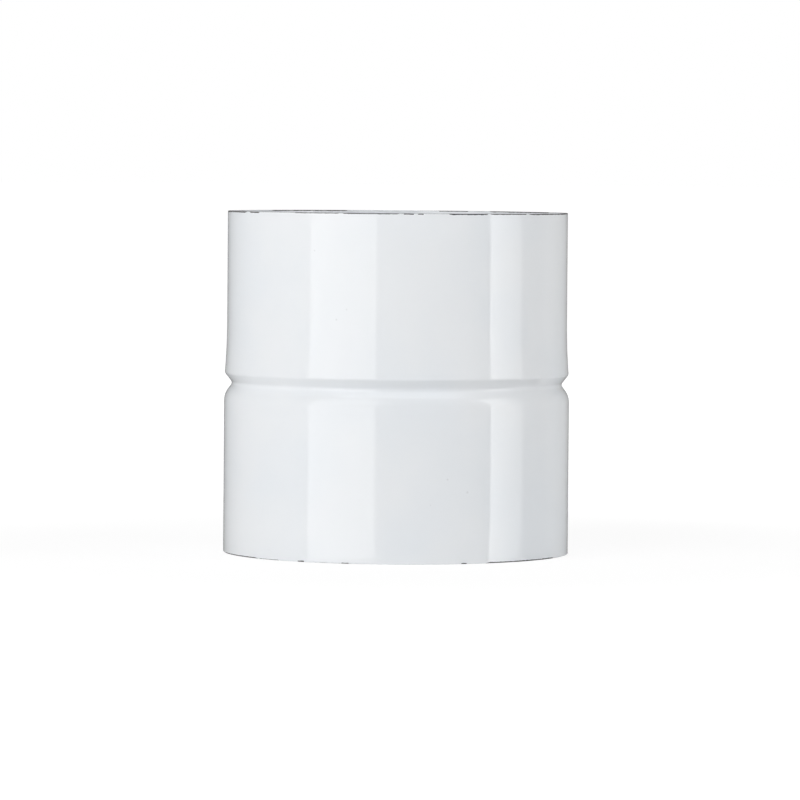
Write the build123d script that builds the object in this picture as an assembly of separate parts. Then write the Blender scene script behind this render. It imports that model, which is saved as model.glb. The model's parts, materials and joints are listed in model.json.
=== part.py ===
from build123d import *
from math import acos, cos, degrees, radians, sin
import os

# Flue pipe adapter: a short sleeve of enamelled sheet steel with one bead rolled in at mid height.
# The upper half is a spigot that slips into a pipe's socket. The lower half is a socket that takes
# another pipe's spigot. The bead between them stops both pipes, the upper one at its crest outside and
# the lower one at its ridge inside.
# Lengths are in millimetres and angles in degrees. The origin is the centre of the lower rim, and +Z
# runs up the pipe.

# Pipe ends
PIPE_SIZE = 120.0  # inside diameter of the socket, the size that such pipes are sold by
SPIGOT_PLAY = 0.3  # by how much a spigot is smaller than a socket's inside, across the diameter
SOCKET_LENGTH = 59.5  # lower rim to the root of the bead
SPIGOT_LENGTH = 60.5  # root of the bead to the upper rim

# Sheet
WALL = 0.8  # steel and the enamel on both faces
LEAD_IN = 0.25  # bevel on the two edges that slide into or over another pipe

# Bead, with bends given by the radius inside the bend
BEAD_DEPTH = 2.62  # root below the outside of the socket
SHOULDER_BEND = 6.1  # wide shoulder below the groove
LOWER_FLANK_ANGLE = 37.0  # slope of the groove's lower side, from the pipe's axis
ROOT_BEND = 1.34  # hollow of the groove
UPPER_FLANK_ANGLE = 38.0  # slope of the groove's upper side, from the pipe's axis
CREST_BEND = 0.7  # tight crest above the groove
CREST_RISE = 0.7  # crest above the outside of the spigot
FLARE_SWEEP = 246.0  # long hollow from the crest up to the spigot's straight wall

# Distances from the axis and heights of the outer face, which follow
socket_outside = PIPE_SIZE / 2 + WALL
spigot_outside = (PIPE_SIZE - SPIGOT_PLAY) / 2
root_outside = socket_outside - BEAD_DEPTH
crest_outside = spigot_outside + CREST_RISE
overall_length = SOCKET_LENGTH + SPIGOT_LENGTH


def flank_between(bends, angle, shift):
    """Length of the straight flank between two opposite bends that together shift an upright wall.

    The two radii add up to bends, and each bend turns through angle.
    """
    shift_in_bends = bends * (1 - cos(radians(angle)))
    return (shift - shift_in_bends) / sin(radians(angle))


def outer_face():
    """The outer face in section: straight runs and bends, walked from the lower rim to the upper one.

    Local X is the distance from the pipe's axis and local Y the height. A bend towards the axis turns
    to the left, so its angle is positive. On this face, the shoulder and the crest are outside their
    bends, one wall further out.
    """
    shoulder_radius = SHOULDER_BEND + WALL
    crest_radius = CREST_BEND + WALL

    # The groove's lower side, from the socket's wall in to the root
    lower_bends = shoulder_radius + ROOT_BEND
    lower_flank_length = flank_between(lower_bends, LOWER_FLANK_ANGLE, BEAD_DEPTH)
    lower_slope = radians(LOWER_FLANK_ANGLE)
    shoulder_height = SOCKET_LENGTH - lower_bends * sin(lower_slope) - lower_flank_length * cos(lower_slope)
    socket_wall = Line((socket_outside, 0), (socket_outside, shoulder_height))
    shoulder = JernArc(socket_wall @ 1, socket_wall % 1, shoulder_radius, LOWER_FLANK_ANGLE)
    lower_flank = PolarLine(shoulder @ 1, lower_flank_length, direction=shoulder % 1)
    lower_hollow = JernArc(lower_flank @ 1, lower_flank % 1, ROOT_BEND, -LOWER_FLANK_ANGLE)

    # Its upper side, from the root out to the crest
    rise = crest_outside - root_outside
    upper_flank_length = flank_between(ROOT_BEND + crest_radius, UPPER_FLANK_ANGLE, rise)
    upper_hollow = JernArc(lower_hollow @ 1, lower_hollow % 1, ROOT_BEND, -UPPER_FLANK_ANGLE)
    upper_flank = PolarLine(upper_hollow @ 1, upper_flank_length, direction=upper_hollow % 1)

    # Past the crest the wall leans in, and the flare's sweep brings it upright at the spigot's size.
    lean = degrees(acos(1 - CREST_RISE / (crest_radius + FLARE_SWEEP)))
    crest = JernArc(upper_flank @ 1, upper_flank % 1, crest_radius, UPPER_FLANK_ANGLE + lean)
    flare = JernArc(crest @ 1, crest % 1, FLARE_SWEEP, -lean)
    spigot_wall = Line(flare @ 1, (spigot_outside, overall_length))

    walk = [socket_wall, shoulder, lower_flank, lower_hollow, upper_hollow, upper_flank, crest, flare, spigot_wall]
    return Wire([run.edge() for run in walk])


def wall_section():
    """The sheet in section: its outer face, its inner face one wall away, and the lead-in at each rim."""
    section = make_face(outer_face().offset_2d(WALL, side=Side.LEFT))
    rows = section.vertices().group_by(Axis.Y)
    socket_inner_edge = rows[0].sort_by(Axis.X)[0]
    spigot_outer_edge = rows[-1].sort_by(Axis.X)[-1]
    return chamfer([socket_inner_edge, spigot_outer_edge], LEAD_IN)


def adapter_sleeve():
    """The sheet's section turned about the pipe's axis."""
    return revolve(Plane.XZ * wall_section(), Axis.Z)


os.makedirs("parts", exist_ok=True)
export_step(adapter_sleeve(), "parts/adapter_sleeve.step")
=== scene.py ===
import json
from math import acos, cos, pi, radians, sin, tan

import bpy
from bpy.props import FloatProperty, FloatVectorProperty, IntProperty, PointerProperty
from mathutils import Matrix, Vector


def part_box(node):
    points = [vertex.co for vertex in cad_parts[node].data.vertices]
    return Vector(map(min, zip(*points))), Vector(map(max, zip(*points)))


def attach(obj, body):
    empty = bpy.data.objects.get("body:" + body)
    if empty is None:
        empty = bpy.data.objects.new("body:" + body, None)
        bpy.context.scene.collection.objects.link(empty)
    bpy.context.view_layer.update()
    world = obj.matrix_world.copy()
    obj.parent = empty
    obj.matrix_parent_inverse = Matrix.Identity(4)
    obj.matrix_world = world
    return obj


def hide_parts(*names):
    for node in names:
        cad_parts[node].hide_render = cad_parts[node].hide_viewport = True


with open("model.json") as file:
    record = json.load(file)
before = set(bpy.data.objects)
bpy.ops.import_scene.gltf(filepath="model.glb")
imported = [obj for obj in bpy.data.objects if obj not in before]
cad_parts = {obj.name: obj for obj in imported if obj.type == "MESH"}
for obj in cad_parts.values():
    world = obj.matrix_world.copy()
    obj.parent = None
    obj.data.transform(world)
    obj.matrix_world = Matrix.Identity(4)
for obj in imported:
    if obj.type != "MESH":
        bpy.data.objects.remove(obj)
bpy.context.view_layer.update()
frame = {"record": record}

# A flue pipe adapter of white enamelled steel: a spigot above, a socket below and a rolled bead between them.
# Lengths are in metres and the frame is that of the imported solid. Front is -Y, right is +X, and +Z runs up
# the pipe. A direction round the pipe is an angle from the front, to the right where it is positive.

bl_info = {
    "name": "Enamelled Flue Pipe Adapter",
    "version": (1, 0, 0),
    "blender": (4, 5, 0),
    "location": "3D View > Sidebar > Flue Adapter",
    "description": "Models a beaded flue pipe sleeve with its enamel, and the studio that it stands in",
    "category": "Object",
}

NODE = "adapter_sleeve"

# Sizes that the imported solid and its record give
NODE_LOW, NODE_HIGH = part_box(NODE)
MOUNTS = {mount["name"]: mount["dims"] for mount in frame["record"]["mounts"]}
SOCKET_INSIDE = MOUNTS["socket"]["r_mm"] / 1000
SPIGOT_OUTSIDE = MOUNTS["spigot"]["r_mm"] / 1000
SLEEVE_LENGTH = NODE_HIGH[2] - NODE_LOW[2]


# Properties

class FlueSleeveSizes(bpy.types.PropertyGroup):
    """Sizes of the sleeve, with bends given by the radius inside the bend"""

    socket_inside: FloatProperty(
        name="Socket Inside", description="Radius inside the socket", default=SOCKET_INSIDE, unit="LENGTH")
    spigot_outside: FloatProperty(
        name="Spigot Outside", description="Radius outside the spigot", default=SPIGOT_OUTSIDE, unit="LENGTH")
    length: FloatProperty(
        name="Length", description="Lower rim to upper rim", default=SLEEVE_LENGTH, unit="LENGTH")
    wall: FloatProperty(
        name="Wall", description="Thickness of the enamelled sheet", default=0.0008, unit="LENGTH")
    edge_rounding: FloatProperty(
        name="Edge Rounding", description="Radius of the enamel over the cut edges", default=0.00022,
        unit="LENGTH")
    root_height: FloatProperty(
        name="Root Height", description="Lower rim to the root of the bead", default=0.0595, unit="LENGTH")
    bead_depth: FloatProperty(
        name="Bead Depth", description="Root below the outside of the socket", default=0.00262, unit="LENGTH")
    shoulder_bend: FloatProperty(
        name="Shoulder Bend", description="Wide shoulder below the groove", default=0.0061, unit="LENGTH")
    lower_flank: FloatProperty(
        name="Lower Flank", description="Slope of the groove's lower side, from the axis",
        default=radians(37), subtype="ANGLE")
    root_bend: FloatProperty(
        name="Root Bend", description="Hollow of the groove", default=0.00134, unit="LENGTH")
    upper_flank: FloatProperty(
        name="Upper Flank", description="Slope of the groove's upper side, from the axis",
        default=radians(38), subtype="ANGLE")
    crest_bend: FloatProperty(
        name="Crest Bend", description="Tight crest above the groove", default=0.0007, unit="LENGTH")
    crest_rise: FloatProperty(
        name="Crest Rise", description="Crest above the outside of the spigot", default=0.0007, unit="LENGTH")
    flare_sweep: FloatProperty(
        name="Flare Sweep", description="Long hollow from the crest up to the straight spigot", default=0.246,
        unit="LENGTH")
    columns: IntProperty(
        name="Columns", description="Faces round the sleeve", default=384, min=48)


class FlueEnamelLook(bpy.types.PropertyGroup):
    """Finish of the sleeve, with the painted shade along its rims"""

    enamel: FloatVectorProperty(
        name="Enamel", description="Cool white of the enamel", default=(0.83, 0.85, 0.87), subtype="COLOR")
    cloud: FloatVectorProperty(
        name="Cloud", description="White where the enamel lies a little thinner", default=(0.80, 0.83, 0.86),
        subtype="COLOR")
    # Darkest colour of the rim lines: ground coat together with painted shade, a painted shadow where the
    # lower rim meets the floor and a painted dark reflection along the upper rim
    rim_dark_coat_and_shade: FloatVectorProperty(
        name="Bare Edge", description="Dark ground coat where the white draws back from a cut edge",
        default=(0.014, 0.013, 0.014), subtype="COLOR")
    # Greyer colour within the same rim lines of ground coat and painted shade
    rim_grey_coat_and_shade: FloatVectorProperty(
        name="Worn Edge", description="Greyer ground coat where a cut edge is worn",
        default=(0.11, 0.108, 0.112), subtype="COLOR")
    speck: FloatVectorProperty(
        name="Speck", description="Pinholes and dust fired into the enamel", default=(0.42, 0.42, 0.43),
        subtype="COLOR")
    roughness: FloatProperty(
        name="Roughness", description="Roughness of the gloss", default=0.06, min=0, max=1, subtype="FACTOR")
    peel_depth: FloatProperty(
        name="Peel Depth", description="Height of the faint ripple in the fired surface", default=0.0000025,
        precision=7, unit="LENGTH")
    # Width of the rim lines of ground coat and painted shade
    rim_coat_and_shade_width: FloatProperty(
        name="Bare Width", description="How far the white draws back from a rim", default=0.0004,
        precision=5, unit="LENGTH")


class FlueStudio(bpy.types.PropertyGroup):
    """Camera and light"""

    camera_distance: FloatProperty(
        name="Camera Distance", description="Camera to the pipe's axis, level", default=1.896, unit="LENGTH")
    camera_height: FloatProperty(
        name="Camera Height", description="Camera above the floor", default=0.1375, unit="LENGTH")
    camera_lens: FloatProperty(
        name="Lens", description="Focal length in millimetres on a 36 mm sensor", default=242.1)
    camera_pitch: FloatProperty(
        name="Pitch", description="How far the camera looks down", default=radians(2.532), subtype="ANGLE")
    camera_yaw: FloatProperty(
        name="Yaw", description="How far the camera looks to the right", default=radians(0.037),
        subtype="ANGLE")
    camera_roll: FloatProperty(
        name="Roll", description="How far the camera leans to the left", default=radians(0.435),
        subtype="ANGLE")
    ambient: FloatProperty(
        name="Ambient", description="Light that comes from all round", default=0.15, min=0)
    key_light: FloatProperty(
        name="Key Light", description="Brightness of the wide softbox on the left", default=2.72, min=0)
    strip_light: FloatProperty(
        name="Strip Light", description="Brightness of the narrow softbox on the right, at its near side",
        default=4.25, min=0)
    strip_fall: FloatProperty(
        name="Strip Fall", description="Brightness of the narrow softbox at its far side", default=2.05,
        min=0)
    left_fill: FloatProperty(
        name="Left Fill", description="Brightness of the screen left of the wide softbox", default=0.7,
        min=0)
    front_fill: FloatProperty(
        name="Front Fill", description="Brightness of the screen right of the wide softbox", default=0.65,
        min=0)
    back_fill: FloatProperty(
        name="Back Fill", description="Brightness of the screen behind the pipe", default=1.0, min=0)
    overhead_light: FloatProperty(
        name="Overhead Light", description="Brightness of the panel above", default=0.47, min=0)
    top_card: FloatProperty(
        name="Top Card", description="Brightness of the card above that only the gloss sees", default=2.4,
        min=0)


# Section of the sleeve

# Rows of faces along each stretch of the section, from the lower rim up
SOCKET_ROWS = 5
SHOULDER_ROWS = 10
LOWER_FLANK_ROWS = 2
ROOT_ROWS = 16
UPPER_FLANK_ROWS = 3
CREST_ROWS = 12
FLARE_ROWS = 8
SPIGOT_ROWS = 4


def bend(points, centre, radius, start, end, steps):
    """Adds the points of a bend about centre, where an angle of 0 points away from the pipe's axis."""
    for step in range(1, steps + 1):
        angle = start + (end - start) * step / steps
        points.append((centre[0] + radius * cos(angle), centre[1] + radius * sin(angle)))


def straight(points, end, steps):
    """Adds the points of a straight run to end."""
    start = points[-1]
    for step in range(1, steps + 1):
        share = step / steps
        points.append((start[0] + (end[0] - start[0]) * share, start[1] + (end[1] - start[1]) * share))


def outer_face(sizes):
    """The outer face from the lower rim to the upper one, as pairs of distance from the axis and height."""
    socket_outside = sizes.socket_inside + sizes.wall
    root_outside = socket_outside - sizes.bead_depth
    crest_outside = sizes.spigot_outside + sizes.crest_rise
    shoulder = sizes.shoulder_bend + sizes.wall
    crest = sizes.crest_bend + sizes.wall
    hollow = sizes.root_bend
    low, high = sizes.lower_flank, sizes.upper_flank

    low_run = (sizes.bead_depth - (shoulder + hollow) * (1 - cos(low))) / sin(low)
    high_run = (crest_outside - root_outside - (hollow + crest) * (1 - cos(high))) / sin(high)
    shoulder_height = sizes.root_height - (shoulder + hollow) * sin(low) - low_run * cos(low)
    crest_height = sizes.root_height + (hollow + crest) * sin(high) + high_run * cos(high)
    lean = acos(1 - sizes.crest_rise / (crest + sizes.flare_sweep))
    flare_end = crest_height + (crest + sizes.flare_sweep) * sin(lean)

    points = [(socket_outside, 0.0)]
    straight(points, (socket_outside, shoulder_height), SOCKET_ROWS)
    bend(points, (socket_outside - shoulder, shoulder_height), shoulder, 0, low, SHOULDER_ROWS)
    reach, height = points[-1]
    straight(points, (reach - low_run * sin(low), height + low_run * cos(low)), LOWER_FLANK_ROWS)
    bend(points, (root_outside + hollow, sizes.root_height), hollow, pi + low, pi - high, ROOT_ROWS)
    reach, height = points[-1]
    straight(points, (reach + high_run * sin(high), height + high_run * cos(high)), UPPER_FLANK_ROWS)
    bend(points, (crest_outside - crest, crest_height), crest, -high, lean, CREST_ROWS)
    flare_centre = (sizes.spigot_outside + sizes.flare_sweep, flare_end)
    bend(points, flare_centre, sizes.flare_sweep, pi + lean, pi, FLARE_ROWS)
    straight(points, (sizes.spigot_outside, sizes.length), SPIGOT_ROWS)
    return points


# Modelling by hand

RIM_SEGMENTS = 3
RIM_TOLERANCE = 0.1  # how near to a rim counts as on it, as a share of the wall
SMOOTH_BELOW = radians(40)  # faces that meet at less than this angle shade as one surface


def start_piece(name):
    """Names the object that an operator just added."""
    piece = bpy.context.object
    piece.name = name
    piece.data.name = name
    return piece


def pick_edges(piece, wanted):
    """In edit mode, selects the edges that wanted says yes to, and nothing else."""
    bpy.ops.mesh.select_mode(type="EDGE")
    bpy.ops.mesh.select_all(action="DESELECT")
    bpy.ops.object.mode_set(mode="OBJECT")
    for edge in piece.data.edges:
        edge.select = wanted(edge)
    bpy.ops.object.mode_set(mode="EDIT")


def roll_sleeve(sizes):
    """Draws the outer face up from a circle at the lower rim, gives it the wall and rounds the rims."""
    profile = outer_face(sizes)
    bpy.ops.object.select_all(action="DESELECT")
    bpy.ops.mesh.primitive_circle_add(vertices=sizes.columns, radius=profile[0][0], fill_type="NOTHING")
    sleeve = start_piece("enamel_sleeve")

    bpy.ops.object.mode_set(mode="EDIT")
    bpy.ops.mesh.select_mode(type="EDGE")
    bpy.ops.mesh.select_all(action="SELECT")
    for (radius, height), (next_radius, next_height) in zip(profile, profile[1:]):
        bpy.ops.mesh.extrude_edges_move(TRANSFORM_OT_translate={"value": (0, 0, next_height - height)})
        share = next_radius / radius
        bpy.ops.transform.resize(value=(share, share, 1), center_override=(0, 0, next_height))
    bpy.ops.mesh.select_all(action="SELECT")
    bpy.ops.mesh.normals_make_consistent(inside=False)
    bpy.ops.object.mode_set(mode="OBJECT")

    wall = sleeve.modifiers.new("Sheet", "SOLIDIFY")
    wall.thickness = sizes.wall
    wall.offset = -1
    wall.use_even_offset = True
    bpy.ops.object.modifier_apply(modifier=wall.name)

    bpy.ops.object.mode_set(mode="EDIT")
    points = sleeve.data.vertices
    near = RIM_TOLERANCE * sizes.wall

    def runs_round_a_rim(edge):
        heights = [points[index].co.z for index in edge.vertices]
        reach = [points[index].co.xy.length for index in edge.vertices]
        at_rim = max(heights) < near or min(heights) > sizes.length - near
        return at_rim and abs(reach[0] - reach[1]) < near

    pick_edges(sleeve, runs_round_a_rim)
    bpy.ops.mesh.bevel(
        offset=sizes.edge_rounding, offset_type="OFFSET", segments=RIM_SEGMENTS, affect="EDGES")
    bpy.ops.object.mode_set(mode="OBJECT")
    bpy.ops.object.shade_smooth_by_angle(angle=SMOOTH_BELOW)
    return sleeve


# Materials

# Places of the colour sockets in a mix node
MIX_FACTOR = 0
MIX_FIRST = 6
MIX_SECOND = 7
MIX_RESULT = 2


def add_node(tree, kind, **settings):
    """Adds a node and sets its own settings."""
    node = tree.nodes.new(kind)
    for name, value in settings.items():
        setattr(node, name, value)
    return node


def feed(socket, value):
    """Links an input to a socket, or gives it a value of its own."""
    if isinstance(value, bpy.types.NodeSocket):
        socket.id_data.links.new(value, socket)
    else:
        socket.default_value = value


def set_inputs(node, **values):
    """Feeds a node's inputs by name. Underscores stand for spaces."""
    for name, value in values.items():
        feed(node.inputs[name.replace("_", " ")], value)


def math_node(tree, operation, first, second=0.0):
    """Returns the result of an operation on two numbers or sockets."""
    node = add_node(tree, "ShaderNodeMath", operation=operation)
    for socket, value in zip(node.inputs, (first, second)):
        feed(socket, value)
    return node.outputs["Value"]


def fade(tree, value, low, high):
    """Returns a smooth step from 0 at low to 1 at high."""
    node = add_node(tree, "ShaderNodeMapRange", interpolation_type="SMOOTHSTEP")
    set_inputs(node, Value=value, From_Min=low, From_Max=high, To_Min=0.0, To_Max=1.0)
    return node.outputs["Result"]


def noise(tree, place, scale, detail=2.0):
    """Returns a noise at that many waves a metre, with finer waves on top as detail says."""
    node = add_node(tree, "ShaderNodeTexNoise")
    set_inputs(node, Vector=place, Scale=scale, Detail=detail)
    return node.outputs["Fac"]


def mix_colour(tree, factor, first, second):
    """Returns a mix of two colours, each of them a socket or three values."""
    node = add_node(tree, "ShaderNodeMix", data_type="RGBA")
    feed(node.inputs[MIX_FACTOR], factor)
    for index, colour in ((MIX_FIRST, first), (MIX_SECOND, second)):
        if not isinstance(colour, bpy.types.NodeSocket):
            colour = (*colour, 1)
        feed(node.inputs[index], colour)
    return node.outputs[MIX_RESULT]


# Patterns in the enamel and in its dark rim lines of ground coat and painted shade, in waves or cells a metre
CLOUD_WAVES = 28
SPECK_CELLS = 160
RAGGED_WAVES = 900
RIM_GREY_WAVES = 240
GLOSS_WAVES = 60
RIPPLE_WAVES = 330

# How many finer waves lie on top, where it isn't the usual number
RAGGED_DETAIL = 3.0
RIPPLE_DETAIL = 1.0

# Noise at which clouds and the greyer parts of the dark rim lines begin, and at which they are full
CLOUD_RANGE = (0.35, 0.7)
RIM_GREY_RANGE = (0.45, 0.75)
NOISE_MIDDLE = 0.5

# A cell holds a scattered speck if its own random value is above the chance. The speck grows with the rest.
SPECK_CHANCE = 0.8
SPECK_GROWTH = 0.25
SPECK_STRENGTH = 0.2

# Gloss
GLOSS_VARIATION = 0.05
# The dark rim lines of ground coat and painted shade are rougher by this much
RIM_COAT_AND_SHADE_ROUGHNESS = 0.35  # how much rougher the ground coat is
ENAMEL_IOR = 1.5

# A stretch of a dark rim line, ground coat and painted shade, is full up to this share of its half width, and
# fades out over the rest
STRETCH_FULL = 0.85

# Once round the pipe is a turn from 0 to 1, with the front at this value
FRONT_TURN = 0.5


def round_the_pipe(tree, place, stretches):
    """Returns how far the dark rim line of ground coat and painted shade reaches in each direction, and 0
    between the stretches.
    """
    turned = add_node(tree, "ShaderNodeMapping")
    set_inputs(turned, Vector=place, Rotation=(0, 0, radians(90)))
    direction = add_node(tree, "ShaderNodeTexGradient", gradient_type="RADIAL")
    set_inputs(direction, Vector=turned.outputs["Vector"])
    total = 0.0
    for middle, half_width, strength in stretches:
        offset = math_node(tree, "SUBTRACT", direction.outputs["Fac"], FRONT_TURN + middle / 360)
        distance = math_node(tree, "ABSOLUTE", offset)
        inside = fade(tree, distance, half_width / 360, STRETCH_FULL * half_width / 360)
        total = math_node(tree, "MAXIMUM", math_node(tree, "MULTIPLY", inside, strength), total)
    return total


# Where a rim is dark, with ground coat and painted shade: a painted dark reflection along the upper rim
# and a painted shadow where the lower rim meets the floor. Each stretch gives its middle and its half width,
# in degrees from the front and to the right, and how far the dark line reaches there as a share of its
# width. The first stretch of the upper rim goes all the way round.
UPPER_COAT_AND_SHADE = (
    (0, 181, 0.2),
    (-73, 12.5, 1.0), (-56, 3, 1.0), (-28, 9, 0.6), (-9, 10, 0.75), (3.6, 1.8, 0.9), (7.5, 1, 1.0),
    (24, 7.5, 1.0), (40, 8.5, 0.8), (69, 21, 1.0),
    (-146, 17, 0.8), (160, 6, 0.7), (130, 17, 0.8),
)
# Lower rim: ground coat and a painted shadow where the rim meets the floor
LOWER_COAT_AND_SHADE = (
    (-65, 14, 0.9), (-46, 5, 0.45), (-32.3, 1.3, 1.0), (-20, 6, 0.2), (-16.5, 1.3, 0.8), (22.8, 1, 0.9),
    (48, 18, 1.0), (135, 20, 0.8), (-140, 14, 0.8),
)

# Specks in the front: the direction in degrees, the height and the radius of each
FRONT_SPECKS = (
    (-28.4, 0.107, 0.0003), (-20.3, 0.0835, 0.00034), (-16.8, 0.087, 0.0003),
    (16.9, 0.0291, 0.00034), (23.8, 0.0246, 0.0004), (11.3, 0.0203, 0.00022),
)

# The front reaches back to this place on the Y axis, and scattered specks lie behind it
FRONT_END = -0.02


def front_specks(tree, place, sizes):
    """Returns 1 inside the specks of the front and 0 elsewhere."""
    total = 0.0
    for direction, height, radius in FRONT_SPECKS:
        reach = sizes.spigot_outside if height > sizes.root_height else sizes.socket_inside + sizes.wall
        distance = add_node(tree, "ShaderNodeVectorMath", operation="DISTANCE")
        turn = radians(direction)
        feed(distance.inputs[0], place)
        feed(distance.inputs[1], (reach * sin(turn), -reach * cos(turn), height))
        inside = math_node(tree, "LESS_THAN", distance.outputs["Value"], radius)
        total = math_node(tree, "MAXIMUM", inside, total)
    return total


def scattered_specks(tree, place):
    """Returns 1 inside the specks that are scattered over the back and the sides, and 0 elsewhere."""
    cells = add_node(tree, "ShaderNodeTexVoronoi")
    set_inputs(cells, Vector=place, Scale=SPECK_CELLS, Randomness=1.0)
    chance = add_node(tree, "ShaderNodeSeparateColor")
    set_inputs(chance, Color=cells.outputs["Color"])
    above = math_node(tree, "SUBTRACT", chance.outputs["Red"], SPECK_CHANCE)
    radius = math_node(tree, "MULTIPLY", above, SPECK_GROWTH)
    inside = math_node(tree, "LESS_THAN", cells.outputs["Distance"], radius)
    apart = add_node(tree, "ShaderNodeSeparateXYZ")
    set_inputs(apart, Vector=place)
    behind = math_node(tree, "GREATER_THAN", apart.outputs["Y"], FRONT_END)
    return math_node(tree, "MULTIPLY", inside, behind)


def rim_coat_and_shade_mask(tree, place, look, sizes):
    """Returns 1 along a ragged dark line at each rim, of ground coat and painted shade, and 0 elsewhere."""
    apart = add_node(tree, "ShaderNodeSeparateXYZ")
    set_inputs(apart, Vector=place)
    from_bottom = apart.outputs["Z"]
    from_top = math_node(tree, "SUBTRACT", sizes.length, from_bottom)
    ragged = math_node(tree, "ADD", noise(tree, place, RAGGED_WAVES, RAGGED_DETAIL), NOISE_MIDDLE)
    reach = math_node(tree, "MULTIPLY", ragged, look.rim_coat_and_shade_width)
    upper = math_node(tree, "MULTIPLY", round_the_pipe(tree, place, UPPER_COAT_AND_SHADE), reach)
    lower = math_node(tree, "MULTIPLY", round_the_pipe(tree, place, LOWER_COAT_AND_SHADE), reach)
    top_coat_and_shade = math_node(tree, "LESS_THAN", from_top, upper)
    bottom_coat_and_shade = math_node(tree, "LESS_THAN", from_bottom, lower)
    return math_node(tree, "MAXIMUM", top_coat_and_shade, bottom_coat_and_shade)


def white_enamel(look, sizes):
    """Glossy white enamel: faint clouds, fired ripple, a few specks, and dark lines along the rims that are
    partly ground coat and partly painted shade.
    """
    material = bpy.data.materials.new("white_enamel")
    material.use_nodes = True
    tree = material.node_tree
    place = add_node(tree, "ShaderNodeTexCoord").outputs["Object"]

    clouds = fade(tree, noise(tree, place, CLOUD_WAVES), *CLOUD_RANGE)
    colour = mix_colour(tree, clouds, look.enamel, look.cloud)
    specks = math_node(tree, "MAXIMUM", scattered_specks(tree, place), front_specks(tree, place, sizes))
    colour = mix_colour(tree, math_node(tree, "MULTIPLY", specks, SPECK_STRENGTH), colour, look.speck)
    # Painted shade along the rims, mixed with dark ground coat: a painted shadow where the lower rim meets
    # the floor and a painted dark reflection along the upper rim
    rim_coat_and_shade = rim_coat_and_shade_mask(tree, place, look, sizes)
    rim_greyness = fade(tree, noise(tree, place, RIM_GREY_WAVES), *RIM_GREY_RANGE)
    rim_coat_and_shade_colour = mix_colour(tree, rim_greyness, look.rim_dark_coat_and_shade, look.rim_grey_coat_and_shade)
    colour = mix_colour(tree, rim_coat_and_shade, colour, rim_coat_and_shade_colour)

    uneven = math_node(tree, "MULTIPLY", noise(tree, place, GLOSS_WAVES), GLOSS_VARIATION)
    gloss = math_node(tree, "ADD", uneven, look.roughness - NOISE_MIDDLE * GLOSS_VARIATION)
    rough = math_node(tree, "ADD", gloss, math_node(tree, "MULTIPLY", rim_coat_and_shade, RIM_COAT_AND_SHADE_ROUGHNESS))
    ripple = add_node(tree, "ShaderNodeBump")
    waves = noise(tree, place, RIPPLE_WAVES, RIPPLE_DETAIL)
    set_inputs(ripple, Strength=1.0, Distance=look.peel_depth, Height=waves)
    set_inputs(tree.nodes["Principled BSDF"], Base_Color=colour, Roughness=rough, IOR=ENAMEL_IOR,
               Normal=ripple.outputs["Normal"])
    return material


def bare_material(name):
    """A new material whose node tree is empty."""
    material = bpy.data.materials.new(name)
    material.use_nodes = True
    material.node_tree.nodes.clear()
    return material


def cover(tree, shader):
    """Makes a shader the surface of the material that the tree belongs to."""
    output = add_node(tree, "ShaderNodeOutputMaterial")
    set_inputs(output, Surface=shader)


def seen_directly(tree):
    """Returns 1 for the rays that show a surface straight, in a mirror or through glass, and 0 for others."""
    rays = add_node(tree, "ShaderNodeLightPath").outputs
    mirrored = math_node(tree, "MAXIMUM", rays["Is Glossy Ray"], rays["Is Transmission Ray"])
    return math_node(tree, "MAXIMUM", rays["Is Camera Ray"], mirrored)


def glowing_panel(name, first, second):
    """Light of a softbox whose brightness goes from first to second across its width."""
    material = bare_material(name)
    tree = material.node_tree
    apart = add_node(tree, "ShaderNodeSeparateXYZ")
    set_inputs(apart, Vector=add_node(tree, "ShaderNodeTexCoord").outputs["UV"])
    brightness = add_node(tree, "ShaderNodeMapRange")
    set_inputs(brightness, Value=apart.outputs["X"], To_Min=first, To_Max=second)
    glow = add_node(tree, "ShaderNodeEmission")
    set_inputs(glow, Strength=brightness.outputs["Result"])
    cover(tree, glow.outputs["Emission"])
    return material


def pale_floor():
    """White floor that keeps the pipe's shadow and fades to full white away from it."""
    material = bare_material("pale_floor")
    tree = material.node_tree
    paint = add_node(tree, "ShaderNodeBsdfDiffuse")
    set_inputs(paint, Color=FLOOR_PAINT)
    distance = add_node(tree, "ShaderNodeVectorMath", operation="LENGTH")
    feed(distance.inputs[0], add_node(tree, "ShaderNodeTexCoord").outputs["Object"])
    level = add_node(tree, "ShaderNodeMapRange", interpolation_type="SMOOTHSTEP")
    set_inputs(level, Value=distance.outputs["Value"], From_Min=FLOOR_FADE[0], From_Max=FLOOR_FADE[1],
               To_Min=FLOOR_GLOW[0], To_Max=FLOOR_GLOW[1])
    glow = add_node(tree, "ShaderNodeEmission")
    set_inputs(glow, Strength=level.outputs["Result"])
    both = add_node(tree, "ShaderNodeMixShader")
    share = math_node(tree, "MULTIPLY", seen_directly(tree), FLOOR_GLOW_SHARE)
    for socket, source in zip(both.inputs, (share, paint.outputs["BSDF"], glow.outputs["Emission"])):
        feed(socket, source)
    cover(tree, both.outputs["Shader"])
    return material


# Studio

# The floor as the eye sees it is a mix of its lit paint and a glow, and the glow grows with the distance
# from the pipe, so that the shadow fades out into white
FLOOR_SIZE = 60.0
FLOOR_PAINT = (0.9, 0.9, 0.9, 1)
FLOOR_FADE = (0.12, 0.4)
FLOOR_GLOW = (1.08, 1.25)
FLOOR_GLOW_SHARE = 0.8

# Directions that the upright panels fill, from the front and to the right, in degrees
KEY_SIDES = (-59.0, -13.5)
STRIP_SIDES = (63.6, 90.3)
LEFT_FILL_SIDES = (-110, -60.5)
FRONT_FILL_SIDES = (-12, 30)
BACK_FILL_SIDES = (135, 225)
RIGHT_CARD_SIDES = (118, 180)
LEFT_CARD_SIDES = (-180, -118)

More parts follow.
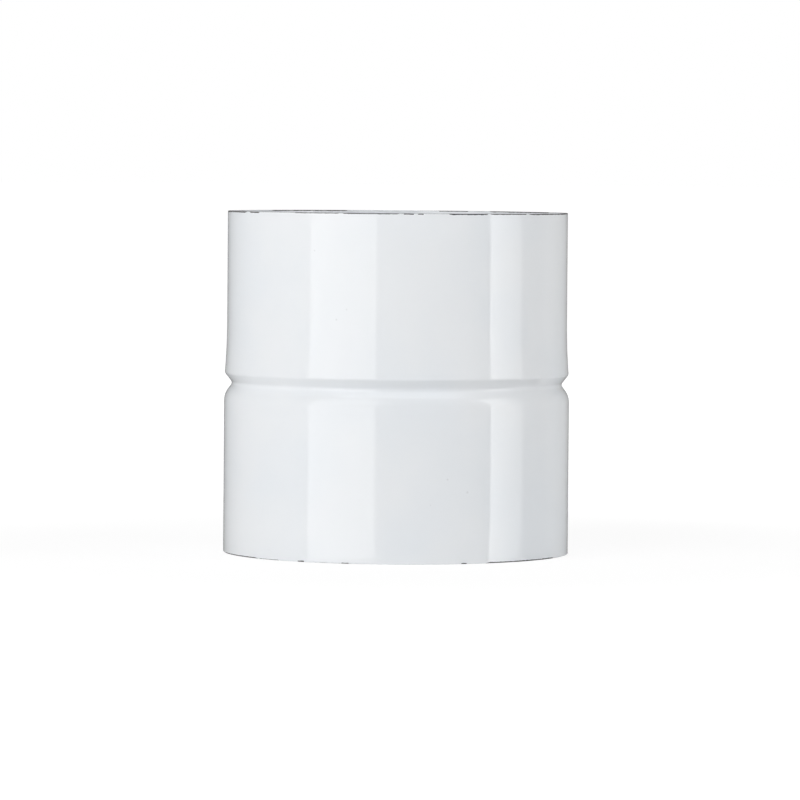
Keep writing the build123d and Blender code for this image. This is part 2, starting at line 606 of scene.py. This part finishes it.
# How far the upright panels stand off, and the heights of their lower and upper edges
KEY_PLACE = (1.0, -0.3, 1.15)
STRIP_PLACE = (1.0, -0.3, 0.9)
CARD_PLACE = (1.3, -0.6, 0.6)
FILL_PLACE = (1.0, 0.02, 0.9)

# Brightness of the cards at their two sides, in the order that the directions above give them
RIGHT_CARD_LIGHT = (1.15, 0.0)
LEFT_CARD_LIGHT = (0.0, 0.96)

# Middle of each level panel, and its width and depth, with the brightness of one at its left and right
OVERHEAD_PLACE = (0, 0, 1.2)
OVERHEAD_SIZE = (1.4, 1.4)
TOP_CARD_PLACE = (0, -0.42, 1.18)
TOP_CARD_SIZE = (1.3, 0.6)
FLOOR_CARD_PLACE = (0.335, 0.05, -0.35)
FLOOR_CARD_SIZE = (0.33, 0.9)
FLOOR_CARD_LIGHT = (1.0, 0.0)

# Camera
SENSOR_WIDTH = 36  # millimetres
VIEW_END = 200


def hang(panel, name, light):
    """Makes a panel glow, with no shadow and unseen by the camera. Its light is given at its two sides."""
    panel.data.materials.append(glowing_panel(name, *light))
    panel.visible_camera = False
    panel.visible_shadow = False
    return panel


def upright_panel(name, sides, place, light):
    """A softbox, screen or card that fills the directions between two sides, seen from the pipe."""
    distance, low, high = place
    middle = radians(sum(sides) / 2)
    half_turn = radians((sides[1] - sides[0]) / 2)
    bpy.ops.mesh.primitive_plane_add(
        size=1, location=(distance * sin(middle), -distance * cos(middle), (low + high) / 2),
        rotation=(radians(90), 0, middle))
    panel = start_piece(name)
    panel.scale = (2 * distance * tan(half_turn), high - low, 1)
    return hang(panel, name, light)


def level_panel(name, place, size, light):
    """A level softbox or card."""
    bpy.ops.mesh.primitive_plane_add(size=1, location=place)
    panel = start_piece(name)
    panel.scale = (*size, 1)
    return hang(panel, name, light)


def fill_screen(name, sides, brightness):
    """A large screen for even light, which the gloss doesn't see."""
    screen = upright_panel(name, sides, FILL_PLACE, (brightness, brightness))
    screen.visible_glossy = False


def edge_card(name, sides, light):
    """A shaded card that only the gloss sees, so that the pipe's sides stand out from the white behind it."""
    card = upright_panel(name, sides, CARD_PLACE, light)
    card.visible_diffuse = False


def bead_card(name, place, size, light):
    """A level card that only the gloss sees, for the light on the bead's sloping sides."""
    card = level_panel(name, place, size, light)
    card.visible_diffuse = False


def floor():
    """The floor that the pipe stands on. The gloss looks through it, so the softboxes reach the lower rim."""
    bpy.ops.mesh.primitive_plane_add(size=FLOOR_SIZE)
    ground = start_piece("floor")
    ground.data.materials.append(pale_floor())
    ground.visible_glossy = False


def white_surround(studio):
    """Even light from all round, which the camera and the gloss see as white."""
    world = bpy.data.worlds.new("white_surround")
    bpy.context.scene.world = world
    world.use_nodes = True
    tree = world.node_tree
    background = tree.nodes["Background"]
    level = add_node(tree, "ShaderNodeMapRange")
    set_inputs(level, Value=seen_directly(tree), To_Min=studio.ambient, To_Max=1.0)
    set_inputs(background, Color=(1, 1, 1, 1), Strength=level.outputs["Result"])


def camera(studio):
    """The camera, a long lens a little above the upper rim."""
    bpy.ops.object.camera_add(
        location=(0, -studio.camera_distance, studio.camera_height),
        rotation=(radians(90) - studio.camera_pitch, 0, -studio.camera_yaw))
    eye = bpy.context.object
    eye.rotation_euler.rotate_axis("Z", studio.camera_roll)
    eye.data.lens = studio.camera_lens
    eye.data.sensor_width = SENSOR_WIDTH
    eye.data.clip_end = VIEW_END
    bpy.context.scene.camera = eye


# Operators

class FLUE_OT_sleeve(bpy.types.Operator):
    """Model the enamelled sleeve with its bead and rims"""

    bl_idname = "flue.sleeve"
    bl_label = "Enamelled Sleeve"
    bl_options = {"REGISTER", "UNDO"}

    def execute(self, context):
        sizes = context.scene.flue_sizes
        sleeve = roll_sleeve(sizes)
        sleeve.data.materials.append(white_enamel(context.scene.flue_enamel, sizes))
        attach(sleeve, "root")
        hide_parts(NODE)
        return {"FINISHED"}


class FLUE_OT_studio(bpy.types.Operator):
    """Set up the floor, the light and the camera"""

    bl_idname = "flue.studio"
    bl_label = "Studio"
    bl_options = {"REGISTER", "UNDO"}

    def execute(self, context):
        studio = context.scene.flue_studio
        context.scene.view_settings.view_transform = "Standard"
        bpy.ops.object.select_all(action="DESELECT")
        floor()
        white_surround(studio)
        upright_panel("key_softbox", KEY_SIDES, KEY_PLACE, (studio.key_light, studio.key_light))
        upright_panel("strip_softbox", STRIP_SIDES, STRIP_PLACE, (studio.strip_light, studio.strip_fall))
        overhead = (studio.overhead_light, studio.overhead_light)
        level_panel("overhead_softbox", OVERHEAD_PLACE, OVERHEAD_SIZE, overhead)
        bead_card("top_card", TOP_CARD_PLACE, TOP_CARD_SIZE, (studio.top_card, studio.top_card))
        bead_card("floor_card", FLOOR_CARD_PLACE, FLOOR_CARD_SIZE, FLOOR_CARD_LIGHT)
        fill_screen("left_fill", LEFT_FILL_SIDES, studio.left_fill)
        fill_screen("front_fill", FRONT_FILL_SIDES, studio.front_fill)
        fill_screen("back_fill", BACK_FILL_SIDES, studio.back_fill)
        edge_card("right_edge_card", RIGHT_CARD_SIDES, RIGHT_CARD_LIGHT)
        edge_card("left_edge_card", LEFT_CARD_SIDES, LEFT_CARD_LIGHT)
        camera(studio)
        return {"FINISHED"}


class FLUE_PT_adapter(bpy.types.Panel):
    """Sizes, finish and studio of the flue pipe adapter"""

    bl_idname = "FLUE_PT_adapter"
    bl_label = "Flue Pipe Adapter"
    bl_space_type = "VIEW_3D"
    bl_region_type = "UI"
    bl_category = "Flue Adapter"

    def draw(self, context):
        groups = (("flue_sizes", "flue.sleeve"), ("flue_enamel", None), ("flue_studio", "flue.studio"))
        for group, operator in groups:
            column = self.layout.column(align=True)
            settings = getattr(context.scene, group)
            for name in settings.bl_rna.properties.keys():
                if name not in {"rna_type", "name"}:
                    column.prop(settings, name)
            if operator:
                column.operator(operator)


CLASSES = (FlueSleeveSizes, FlueEnamelLook, FlueStudio, FLUE_OT_sleeve, FLUE_OT_studio, FLUE_PT_adapter)


def register():
    for cls in CLASSES:
        bpy.utils.register_class(cls)
    bpy.types.Scene.flue_sizes = PointerProperty(type=FlueSleeveSizes)
    bpy.types.Scene.flue_enamel = PointerProperty(type=FlueEnamelLook)
    bpy.types.Scene.flue_studio = PointerProperty(type=FlueStudio)


def unregister():
    del bpy.types.Scene.flue_studio
    del bpy.types.Scene.flue_enamel
    del bpy.types.Scene.flue_sizes
    for cls in reversed(CLASSES):
        bpy.utils.unregister_class(cls)


def main():
    register()
    bpy.ops.flue.sleeve()
    bpy.ops.flue.studio()


if __name__ == "__main__":
    main()
